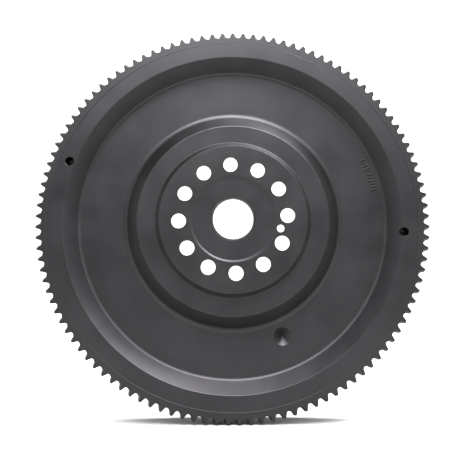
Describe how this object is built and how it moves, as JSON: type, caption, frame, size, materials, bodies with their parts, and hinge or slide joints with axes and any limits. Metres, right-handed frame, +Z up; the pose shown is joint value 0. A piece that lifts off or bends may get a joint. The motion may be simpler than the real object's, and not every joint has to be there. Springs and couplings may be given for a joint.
{
  "type": "flywheel",
  "caption": "Heavy truck engine flywheel: dished iron disc with a bolted crank flange, heavy rim, flat clutch friction face and a shrunk-on starter ring gear.",
  "frame": {"origin": "on the crank axis, in the plane of the face that seats on the crankshaft flange", "axes": "+Y along the crank axis towards the clutch, so the engine side faces -Y; +Z up as it stands on its teeth"},
  "size_m": [0.4848, 0.058, 0.4847],
  "materials": {
    "cast_iron_body": "turned, dark phosphated and oiled",
    "steel_ring_gear": "machined and dark phosphated",
    "ground_steel_pin": "ground"
  },
  "bodies": {
    "root": {"flywheel_body": "cast_iron_body", "starter_ring_gear": "steel_ring_gear", "cover_dowel_right": "ground_steel_pin", "cover_dowel_left": "ground_steel_pin"}
  },
  "joints": []
}
